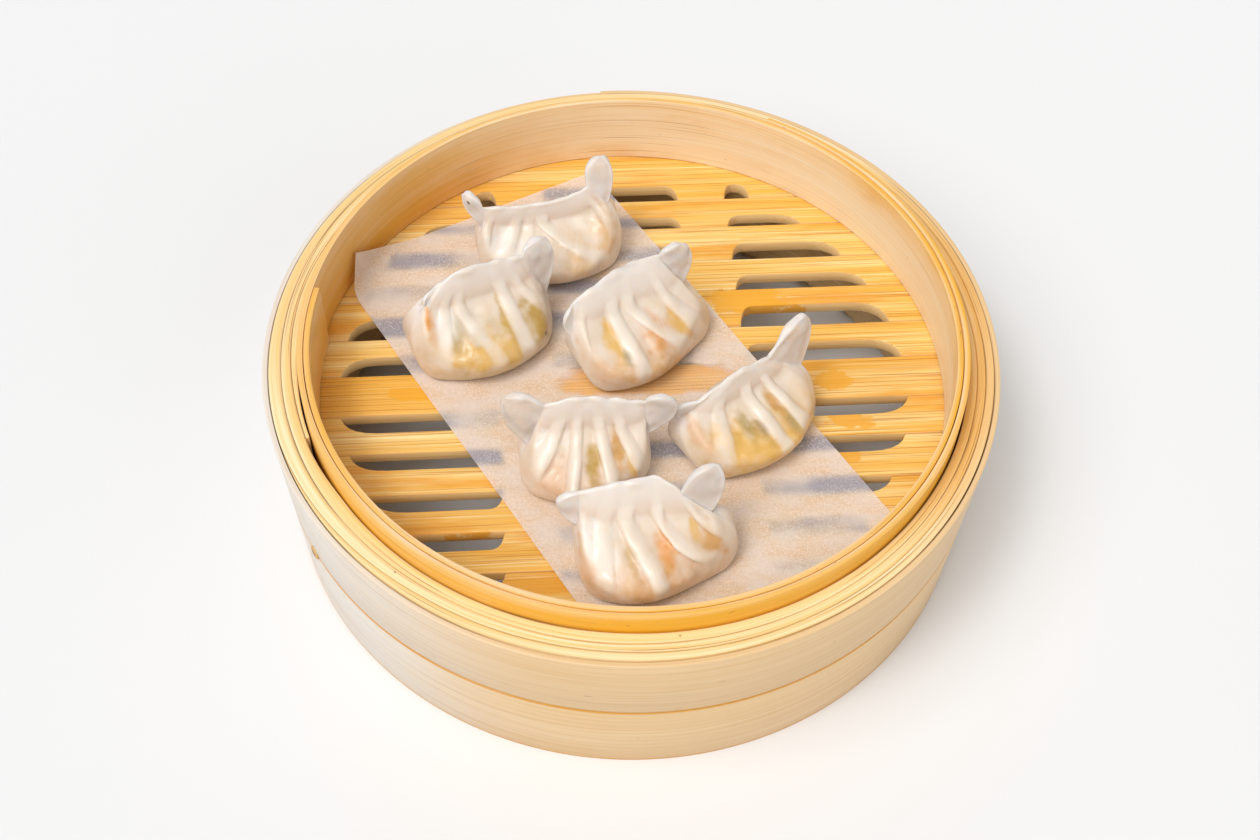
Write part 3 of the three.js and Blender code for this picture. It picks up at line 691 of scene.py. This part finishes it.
# The painted slot shade goes where the paper lies flat over an open slot.
note(paper, "over_slot", "FLOAT", over_slots(laid) * (lift < PAPER_LYING))
soaked_x = (laid[:, 0] - SOAKED_MIDDLE) / SOAKED_REACH[0]
soaked_y = (laid[:, 1] - SOAKED_SLOPE * laid[:, 0]) / SOAKED_REACH[1]
note(paper, "soaked", "FLOAT", np.exp(-soaked_x ** 4 - soaked_y ** 4))
thickness = paper.modifiers.new("thickness", "SOLIDIFY")
thickness.thickness = PAPER_THICKNESS
thickness.offset = 1.0
bpy.ops.object.modifier_apply(modifier="thickness")
bpy.ops.object.shade_smooth_by_angle(angle=PAPER_CORNER)
paper.data.materials.append(damp_paper())
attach(paper, "root")
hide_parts("paper_liner")


# Dumplings. Six half-moon dumplings of thin translucent starch dough round a vegetable filling.
# The front is gathered in thick pleats and pinched on to the smooth back, which leaves a fin along the top
# and a drawn-out ear at each end; they stand on the paper, moist and glossy from the steam.

# Lengths here are in millimetres. Places along the seam and up the dough are shares, to 1 at an ear's tip
# and at the crest.
DUMPLING_FLOOR = 51.6
SEAM_THICKNESS = 2.6
FIN_EDGE = 0.5
FIN_THINS = (0.6, 1.0)
FIN_ROUND = 0.05
BODY_SHARE = 0.8
BELLY_HEIGHT = 0.24
BELLY_TUCK = 0.22
BELLY_END = 0.62
FOLD_SPREAD = 0.22
FOLD_END = (0.5, 0.76)
FOLD_FADE = 0.3
FOLD_SLANT = (0.25, 0.62)
FLAT_END = 0.74
NOSE_FROM = 0.5
NOSE_PULL = 1.03
NOSE_FULL = 1.43
NOSE_BACK = 0.4
NOSE_RISE = 0.8
ROOT_FADE = 0.8
BEND_SHARE = 0.55
FLAT_BELOW = 0.25
EAR_SHOULDER = 0.2
EAR_LENGTHS = (2, 9)
EAR_PLUMP = (-0.5, 0.4)
FOLD_RISE = 0.09
FOLD_DROP = 0.07
FOLD_ROUND = 0.8
FOLD_WHITE = 2.6
LUMP_HEIGHT = 0.9
LUMPS_A_METRE = 190
WAVE_HEIGHT = 0.7
WAVES_A_METRE = 240
RAGGED_A_METRE = (260, 620)
# The backs keep only this share of the belly's tint: painted light, paler to lift the shade the backs lie
# in.
BACK_TINT_PAINTED_PALE = 0.3
RINGS = 170
COLUMNS = 112
BACK_SHARE = 0.34
BOTTOM_SHARE = 0.1

CARROT = shade(228, 158, 80)
AMBER = shade(208, 160, 96)
CORN = shade(226, 182, 98)
GREENS = shade(150, 130, 66)
OLIVE = shade(196, 160, 84)
MUSHROOM = shade(146, 124, 98)
PEACH = shade(222, 187, 154)
FLECK = shade(70, 52, 34)
# Milky thick dough, partly a painted highlight: it sits on the lit left of the bellies.
MILK_AND_SHEEN = shade(238, 232, 224)

# Each belly is full and smooth up to the height called full, and its pleats begin above that.
# Each end of a seam: the last point of its crest, the foot of the ear, the ear's tip and half its width.
# Each pleat: its place along the seam low down and at the top, from -1 at the left ear to 1, then its
# height and width. Clear says how see-through the left and the right ear are.
# Each show of filling, or of milky dough that is partly a painted highlight on the lit left:
# place along the seam, height up the front, reach along, reach up, colour, strength.
DUMPLINGS = (
    dict(at=(-32.6, 59), full=0.26, turn=14,
         half=(26.8, 26.8), front=19.5, back=13, skew=0.14, root=18, crest=(1.5, 24.6),
         left=((-23, 2.5, 26), (-24, 1.5, 18), (-29.4, 7, 29.8), 4),
         right=((15.5, 3.4, 27.7), (23, 2, 21), (22, 10, 36), 7.5),
         pleats=((-0.62, -0.62, 1.4, 0.8), (-0.44, -0.32, 1.6, 0.8), (-0.26, -0.18, 1.4, 0.7),
                 (0.42, -0.05, 2.6, 1), (0.64, 0.62, 1.6, 0.8)),
         clear=(0.45, 0.45), tint=(PEACH, 0.45),
         shows=((-0.43, 0.39, 0.28, 0.24, MILK_AND_SHEEN, 0.8), (0.62, 0.36, 0.2, 0.3, AMBER, 0.5),
                (0.3, 0.3, 0.3, 0.2, CORN, 0.3), (0.14, 0.51, 0.1, 0.14, AMBER, 0.3),
                (-0.91, 0.5, 0.02, 0.1, FLECK, 0.9))),
    dict(at=(-55, 16), full=0.32, turn=24,
         half=(26.2, 26), front=21.4, back=14.5, skew=0, root=20, crest=(6.5, 31.7),
         left=((-11.4, 6, 28.5), (-20.5, 4, 20.5), (-17.5, 3, 22.2), 4.5),
         right=((19.5, 6, 30.4), (26.5, 3, 12), (28.2, 9, 33), 8),
         pleats=((-0.44, -0.42, 1.4, 0.9), (0.04, -0.23, 1.8, 1), (0.3, 0.3, 3, 1), (0.66, 0.5, 2, 0.9)),
         clear=(0.0, 0.45), tint=(OLIVE, 0.6),
         shows=((-0.44, 0.45, 0.16, 0.14, MILK_AND_SHEEN, 0.8), (0.22, 0.46, 0.07, 0.16, OLIVE, 0.9),
                (0.48, 0.35, 0.14, 0.2, OLIVE, 0.9), (-0.31, 0.36, 0.1, 0.12, GREENS, 0.6),
                (-0.66, 0.4, 0.12, 0.12, CARROT, 0.9), (-0.22, 0.31, 0.25, 0.12, CORN, 0.7),
                (0.08, 0.31, 0.25, 0.14, CORN, 0.7), (0.48, 0.2, 0.02, 0.03, FLECK, 1.0))),
    dict(at=(2.9, 15.2), full=0.24, turn=29.5,
         half=(26.5, 26.5), front=18.4, back=14.5, skew=-0.34, root=20.5, crest=(11, 33),
         left=((-23, 8, 27.2), (-26.5, 4, 16), (-28.2, 5, 22.4), 4),
         right=((12.3, 10, 32), (16.5, 5, 16), (22.5, 10, 33), 9),
         pleats=((-0.66, -0.66, 1.5, 0.9), (-0.2, -0.28, 3, 1), (0.26, -0.1, 3, 1), (0.46, 0.34, 2.8, 1)),
         clear=(0.15, 0.45), tint=(PEACH, 0.7),
         shows=((-0.36, 0.45, 0.1, 0.12, CORN, 0.9), (-0.29, 0.38, 0.05, 0.07, GREENS, 0.9),
                (0.04, 0.43, 0.12, 0.13, CARROT, 0.7), (0.32, 0.38, 0.1, 0.14, CORN, 0.9),
                (-0.16, 0.24, 0.35, 0.12, AMBER, 0.6), (-0.55, 0.22, 0.2, 0.14, PEACH, 0.6))),
    dict(at=(-14.7, -38.4), full=0.17, turn=6,
         half=(22.6, 21.8), front=18.6, back=14, skew=-0.13, root=19.5, crest=(5.5, 30.8),
         left=((-13.3, 5, 28.2), (-19.8, 2.5, 12), (-26.5, 7, 30.6), 8),
         right=((20, 4, 28.4), (20.5, 2, 14.5), (29.5, 3, 30.6), 8),
         pleats=((-0.56, -0.36, 2.8, 1.3), (-0.16, -0.1, 3, 1), (0.24, 0.16, 3, 0.9),
                 (0.52, 0.39, 2.8, 0.9)),
         clear=(1.0, 0.4), tint=(PEACH, 0.6),
         shows=((-0.53, 0.45, 0.14, 0.2, MILK_AND_SHEEN, 0.7), (0.32, 0.46, 0.08, 0.16, AMBER, 1.0),
                (0.06, 0.42, 0.08, 0.12, OLIVE, 0.9), (-0.34, 0.32, 0.2, 0.16, PEACH, 0.8),
                (-0.56, 0.29, 0.12, 0.14, PEACH, 0.6), (0.44, 0.36, 0.06, 0.16, CORN, 0.8))),
    dict(at=(40.6, -19.9), full=0.24, turn=37.5,
         half=(28, 25.6), front=20.2, back=14, skew=-0.07, root=19.5, crest=(4, 29),
         left=((-19, 4, 24.1), (-25.5, 7.5, 17), (-27, 7, 22), 3),
         right=((9.8, 4, 26.8), (24, 2.5, 15.6), (28, 7, 34.5), 6.5),
         pleats=((-0.46, -0.39, 2, 1), (0.04, -0.04, 3.2, 1), (0.35, 0.29, 3.2, 1)),
         clear=(0.3, 0.45), tint=(CORN, 0.8),
         shows=((-0.36, 0.36, 0.22, 0.2, CORN, 0.9), (-0.22, 0.45, 0.07, 0.09, GREENS, 0.6),
                (-0.06, 0.4, 0.09, 0.1, MUSHROOM, 0.8), (0.2, 0.47, 0.08, 0.12, AMBER, 0.8),
                (0.24, 0.34, 0.07, 0.09, GREENS, 0.55), (-0.66, 0.32, 0.16, 0.2, PEACH, 0.8),
                (-0.07, 0.3, 0.2, 0.12, CORN, 0.8))),
    dict(at=(9.7, -74.6), full=0.2, turn=9,
         half=(26.7, 26.7), front=19.1, back=12.5, skew=-0.35, root=20.5, crest=(10.8, 31.1),
         left=((-24, 9.5, 27.9), (-25.5, 5, 17), (-31.3, 9, 24.9), 4),
         right=((8.4, 6, 27.4), (18.4, 4, 18.4), (19.8, 9, 36.4), 7.5),
         pleats=((-0.43, -0.45, 1.6, 1), (0, -0.26, 3, 1), (0.44, 0.04, 3.2, 1), (0.65, 0.5, 2, 0.8)),
         clear=(0.35, 0.5), tint=(PEACH, 0.7),
         shows=((-0.55, 0.43, 0.24, 0.2, MILK_AND_SHEEN, 0.8), (0.07, 0.47, 0.1, 0.16, CARROT, 0.8),
                (-0.24, 0.48, 0.06, 0.16, OLIVE, 0.6), (-0.54, 0.21, 0.22, 0.14, PEACH, 0.9),
                (0.5, 0.32, 0.14, 0.2, AMBER, 0.8), (-0.08, 0.27, 0.3, 0.14, AMBER, 0.6),
                (0.4, 0.5, 0.06, 0.1, CORN, 0.7))),
)


def between(first, second, share):
    return first + (second - first) * share


def drawn(first, pull, last, share):
    """A point on the curve from one place to another that is drawn towards a third."""
    return first * (1 - share) ** 2 + 2 * pull * share * (1 - share) + last * share ** 2


def base_rail(half, foot, share):
    """The base's edge from the middle to one end: flat on the paper, then up round the belly to the ear."""
    none = np.zeros_like(share)
    climb = np.clip((share - NOSE_FROM) / (1 - NOSE_FROM), 0, 1)
    flat = np.concatenate([FLAT_END * half, none, none], axis=-1)
    under = np.concatenate([NOSE_PULL * half, none, none], axis=-1)
    fullest = NOSE_FULL * half - NOSE_BACK * foot[..., :1]
    over = np.concatenate([fullest, NOSE_RISE * foot[..., 1:]], axis=-1)
    nose = between(drawn(flat, under, over, climb), drawn(under, over, foot, climb), climb)
    return np.where(climb > 0, nose, flat * share / NOSE_FROM)


def seam_places(form, station):
    """Base, bend and crest of the dough's section at each place along the seam, and how full it is."""
    left = (station < 0)[..., None]
    side = np.where(left, -1.0, 1.0)
    ends = zip(form["left"], form["right"])
    crest_end, foot, tip, ear = (np.where(left, *pair).astype(float) for pair in ends)
    share = np.minimum(1.0, np.abs(station) / BODY_SHARE)[..., None]
    filled = np.cos(share * math.pi / 2)
    middle = np.array((0.0, *form["crest"]))
    bow = np.concatenate([share, (smooth_step(share, 0, 1) + share) / 2, share ** 2], axis=-1)
    crest = between(middle, crest_end, bow)
    base = base_rail(side * np.where(left, *form["half"]), foot, share)
    half_way = (base + crest) / 2
    root = between((foot + crest_end)[..., 2:] / 2, form["root"], np.maximum(filled, 0) ** ROOT_FADE)
    lean = between(base[..., :1], crest[..., :1], BEND_SHARE)
    bend = np.concatenate([lean, base[..., 1:2], root], axis=-1)
    bend = between(bend, half_way, 1 - np.minimum(1, filled / FLAT_BELOW))
    past = np.clip((np.abs(station) - BODY_SHARE) / (1 - BODY_SHARE), 0, 1)[..., None]
    axis = tip - half_way
    axis /= np.linalg.norm(axis, axis=-1, keepdims=True)
    across = side * np.concatenate([-axis[..., 2:], 0 * share, axis[..., :1]], axis=-1)
    across *= ear / np.linalg.norm(across, axis=-1, keepdims=True)
    shoulder = tip - axis * EAR_SHOULDER * ear
    crest = drawn(crest, shoulder + across, tip, past)
    base = drawn(base, shoulder - across, tip, past)
    bend = np.where(past > 0, (base + crest) / 2, bend)
    drawn_out = smooth_step(np.linalg.norm(tip - (foot + crest_end) / 2, axis=-1), *EAR_LENGTHS)
    return base, bend, crest, np.where(past > 0, 0.0, filled)[..., 0], past[..., 0], drawn_out


def pleat_height(form, station, height):
    """How far the nearest pleat stands out: each rises slowly from the left and drops off sharply."""
    ridge = np.zeros(len(station))
    for low, high, rise, width in form["pleats"]:
        away = (station - between(low, high, smooth_step(height, *FOLD_SLANT))) / width
        share = np.clip(np.where(away < 0, -away / FOLD_RISE, away / FOLD_DROP), 0, 1)
        ridge = np.maximum(ridge, rise * (1 - share ** 2) ** FOLD_ROUND)
    return ridge


def pleated_dumpling(number, form):
    """A ball drawn out along the seam: its columns go up the front, over the crest and down the back."""
    bpy.ops.object.select_all(action="DESELECT")
    bpy.ops.mesh.primitive_uv_sphere_add(segments=COLUMNS, ring_count=RINGS, radius=1)
    piece = bpy.context.object
    piece.name = piece.data.name = f"steamed_dumpling_{number}"
    ball = points_of(piece)
    station = 1 - 2 * np.arccos(np.clip(ball[:, 2], -1, 1)) / math.pi
    loop = np.arctan2(ball[:, 1], ball[:, 0]) / (2 * math.pi) % 1.0
    front = loop > BACK_SHARE + BOTTOM_SHARE
    back = loop < BACK_SHARE
    up_front = (loop - BACK_SHARE - BOTTOM_SHARE) / (1 - BACK_SHARE - BOTTOM_SHARE)
    climb = np.where(front, up_front, np.where(back, 1 - loop / BACK_SHARE, 0.0))
    height = np.sin(np.clip(climb, 0, 1) * math.pi / 2)
    under = np.clip((loop - BACK_SHARE) / BOTTOM_SHARE, 0, 1)
    ridge = pleat_height(form, station, height)
    base, bend, crest, filled, past, drawn_out = seam_places(form, station)
    place = drawn(base, bend, crest, height[:, None])
    tucked = 1 - BELLY_TUCK * np.maximum(0, 1 - height / BELLY_HEIGHT) ** 2
    swell = tucked * (1 - smooth_step(height, BELLY_HEIGHT, BELLY_END))
    rounded = np.sqrt(np.maximum(0, 1 - np.clip((height - 1 + FIN_ROUND) / FIN_ROUND, 0, 1) ** 2))
    edge = between(1.0, FIN_EDGE, smooth_step(height, *FIN_THINS) * (1 - past))
    thin = SEAM_THICKNESS / 2 * edge * rounded * np.sqrt(1 - past ** 4)
    thin = thin * (1 + between(*EAR_PLUMP, drawn_out) * np.sin(past * math.pi))
    fold = smooth_step(height, form["full"], form["full"] + FOLD_SPREAD)
    fold = fold * (1 - smooth_step(height, *FOLD_END)) * np.maximum(filled, 0) ** FOLD_FADE
    out_back = thin + form["back"] * filled * swell
    lop = 1 + form["skew"] * np.sin(np.clip(station / BODY_SHARE, -1, 1) * math.pi / 2)
    out_front = thin + form["front"] * lop * filled * swell + ridge * fold
    bottom = between(out_back, -out_front, under)
    place[:, 1] += np.where(front, -out_front, np.where(back, out_back, bottom))
    turn = math.radians(form["turn"])
    x = place[:, 0] * math.cos(turn) - place[:, 1] * math.sin(turn) + form["at"][0]
    y = place[:, 0] * math.sin(turn) + place[:, 1] * math.cos(turn) + form["at"][1]
    move_points(piece, np.stack([x, y, place[:, 2] + DUMPLING_FLOOR], axis=1) * MM)
    face_outwards()
    bpy.ops.object.shade_smooth()
    uneven_dough(piece, number, height, filled, drawn_out)
    paint_dough(piece, form, station, height, filled, ridge, front)
    return piece


def uneven_dough(piece, number, height, filled, drawn_out):
    """Small lumps of filling under the belly's skin, and a slightly wavy fin."""
    places = points_of(piece)
    normals = np.empty(len(places) * 3, dtype=np.float32)
    piece.data.vertex_normals.foreach_get("vector", normals)
    normals = normals.reshape(-1, 3)
    shift = Vector((number * 3.1, 0.7, 0.2))
    lumps = np.array([noise.noise(Vector(p) * LUMPS_A_METRE + shift) for p in places])
    waves = np.array([noise.noise(Vector(p) * WAVES_A_METRE + shift) for p in places])
    belly = filled * smooth_step(height, 0.06, 0.2) * (1 - smooth_step(height, 0.45, 0.7))
    ears = drawn_out * (1 - smooth_step(filled, 0.0, 0.2))
    thin = np.maximum(smooth_step(height, 0.8, 1.0), ears) * (height > 0.02)
    out = LUMP_HEIGHT * lumps * belly + WAVE_HEIGHT * waves * thin
    move_points(piece, places + normals * (out[:, None] * MM))


def paint_dough(piece, form, station, height, filled, ridge, front):
    """Where the dough is thick and white, where it is an empty fin, and where the filling shows through;
    the backs take less tint, as painted light that lifts their shade.
    """
    places = points_of(piece)
    coarse, fine = ([noise.noise(Vector(p) * waves) for p in places] for waves in RAGGED_A_METRE)
    ragged = np.array(coarse) + 0.5 * np.array(fine)
    belly = filled * (1 - smooth_step(height, 0.3, 0.62))
    ground, strength = form["tint"]
    # Painted light: the backs take less of the tint, so they show paler than their shade.
    total = strength * belly * np.where(front, 1.0, BACK_TINT_PAINTED_PALE)
    colour = np.array(ground[:3]) * total[:, None]
    for along, up, reach, rise, tint, strength in form["shows"]:
        away = np.hypot((station - along) / reach, (height - up) / rise) + 0.5 * ragged
        amount = strength * (1 - smooth_step(away, 0.25, 1.3)) * front
        colour = colour * (1 - amount)[:, None] + np.array(tint[:3]) * amount[:, None]
        total = total * (1 - amount) + amount
    tint = colour / np.maximum(total, 1e-4)[:, None]
    solid = np.ones((len(places), 1))
    note(piece, "filling", "FLOAT_COLOR", np.concatenate([tint, solid], axis=1))
    note(piece, "shown", "FLOAT", total)
    window = smooth_step(height, 0.1, 0.3) * (1 - smooth_step(height, 0.75, 0.98))
    note(piece, "pleat", "FLOAT", np.clip(ridge / FOLD_WHITE, 0, 1) * window * front)
    empty = 1 - smooth_step(filled, 0.0, 0.3)
    note(piece, "fin", "FLOAT", np.maximum(smooth_step(height, 0.55, 0.85), empty))
    ear = smooth_step(np.abs(station), BODY_SHARE - 0.06, BODY_SHARE + 0.1)
    hem = smooth_step(np.abs(2 * height - 1), 0.5, 0.95)
    note(piece, "film", "FLOAT", np.where(station < 0, *form["clear"]) * ear * (1 - 0.6 * hem))
    note(piece, "ear", "FLOAT", ear)


def dough():
    """Moist starch skin: milky, whiter on the pleats, the filling's colours showing where it is thin."""
    material, surface, start = new_finish(
        "steamed_dough", Subsurface_Weight=0.6, Subsurface_Radius=(3.4 * MM, 2.6 * MM, 1.8 * MM),
        Subsurface_Scale=1.0, IOR=1.38, Coat_Weight=0.4, Coat_Roughness=0.13)
    milky, creamy = shade(230, 216, 200), shade(226, 208, 186)
    thin_fin = shade(231, 221, 214)
    thin_ear = shade(237, 229, 223)
    thick_pleat = shade(238, 230, 219)
    dark_bits = shade(168, 132, 84)
    place = start.place()
    filling = start.noted("filling", "FLOAT_COLOR")
    shown, pleat, fin, film, ear = (start.noted(name) for name in ("shown", "pleat", "fin", "film", "ear"))
    milk = place.cloud((150, 150, 150), 3.0, 0.6)
    bits = place.cloud((240, 240, 240), 2.0, 0.5)
    fine = place.cloud((700, 700, 700), 3.0, 0.6)
    skin = milk.step(0.3, 0.7).mix(milky, creamy)
    skin = (fin * 0.8).mix(skin, thin_fin)
    skin = ear.mix(skin, thin_ear)
    seen = shown * (1 - 0.6 * pleat) * (0.6 + 0.9 * (bits - 0.5) + 0.6 * milk)
    colour = seen.step(0.02, 0.98).mix(skin, filling)
    darker = bits.step(0.5, 0.75) * shown * (1 - pleat) * 0.22
    colour = darker.mix(colour, dark_bits)
    colour = (pleat * 0.4).mix(colour, thick_pleat)
    solid = 1 - film * (0.75 + 0.6 * (milk - 0.5))
    feed(surface, Base_Color=colour, Roughness=0.36 + 0.25 * fine, Alpha=solid)
    feed(surface, Normal=(milk + 0.4 * fine).relief(0.15, 0.15 * MM))
    return material


dough_finish = dough()
for number, form in enumerate(DUMPLINGS, start=1):
    dumpling = pleated_dumpling(number, form)
    dumpling.data.materials.append(dough_finish)
    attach(dumpling, "root")
    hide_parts(f"dumpling_{number}")


# Studio. A wide pale floor, a broad soft light from high on the left, weak ones from the right
# and from behind, a white room round them, and the camera at the photograph's viewing angle.
FLOOR_SIZE = 60
CAMERA_PLACE = (0, -0.3840, 0.5407)
CAMERA_PITCH = math.radians(53.26)
CAMERA_ROLL = math.radians(1.75)
CAMERA_LENS = 49.97
CAMERA_SENSOR = 36
ROOM_LIGHT = 0.245
# Each light: its name, strength, width in degrees, and the way that it shines.
LIGHTS = (("key", 2.15, 52, (0.32, 0.38, -0.87)), ("glint", 0.6, 14, (0.36, 0.3, -0.88)),
          ("fill", 0.6, 60, (-0.75, 0.5, -0.4)), ("back", 0.3, 60, (-0.1, -0.78, -0.62)))

bpy.ops.object.select_all(action="DESELECT")
bpy.ops.mesh.primitive_plane_add(size=FLOOR_SIZE)
ground = bpy.context.object
ground.name = "studio_floor"
floor_finish, floor_surface, floor_start = new_finish("studio_floor", Roughness=0.9, Specular_IOR_Level=0.1)
floor_cloud = floor_start.place().cloud((2, 2, 2))
feed(floor_surface, Base_Color=floor_cloud.mix(shade(230, 230, 230), shade(233, 233, 233)))
ground.data.materials.append(floor_finish)

world = bpy.data.worlds.new("studio")
bpy.context.scene.world = world
world.use_nodes = True
room = world.node_tree.nodes["Background"]
room.inputs["Color"].default_value = (1, 1, 1, 1)
room.inputs["Strength"].default_value = ROOM_LIGHT

for name, strength, width, way in LIGHTS:
    light = bpy.data.lights.new(name, "SUN")
    light.energy = strength
    light.angle = math.radians(width)
    lamp = bpy.data.objects.new(name, light)
    bpy.context.collection.objects.link(lamp)
    lamp.rotation_euler = Vector(way).to_track_quat("-Z", "Y").to_euler()

lens = bpy.data.cameras.new("camera")
lens.lens = CAMERA_LENS
lens.sensor_width = CAMERA_SENSOR
camera = bpy.data.objects.new("camera", lens)
bpy.context.collection.objects.link(camera)
tilt = Matrix.Rotation(math.pi / 2 - CAMERA_PITCH, 4, "X")
camera.matrix_world = Matrix.Translation(CAMERA_PLACE) @ tilt @ Matrix.Rotation(CAMERA_ROLL, 4, "Z")
bpy.context.scene.camera = camera
bpy.context.scene.view_settings.view_transform = "Standard"
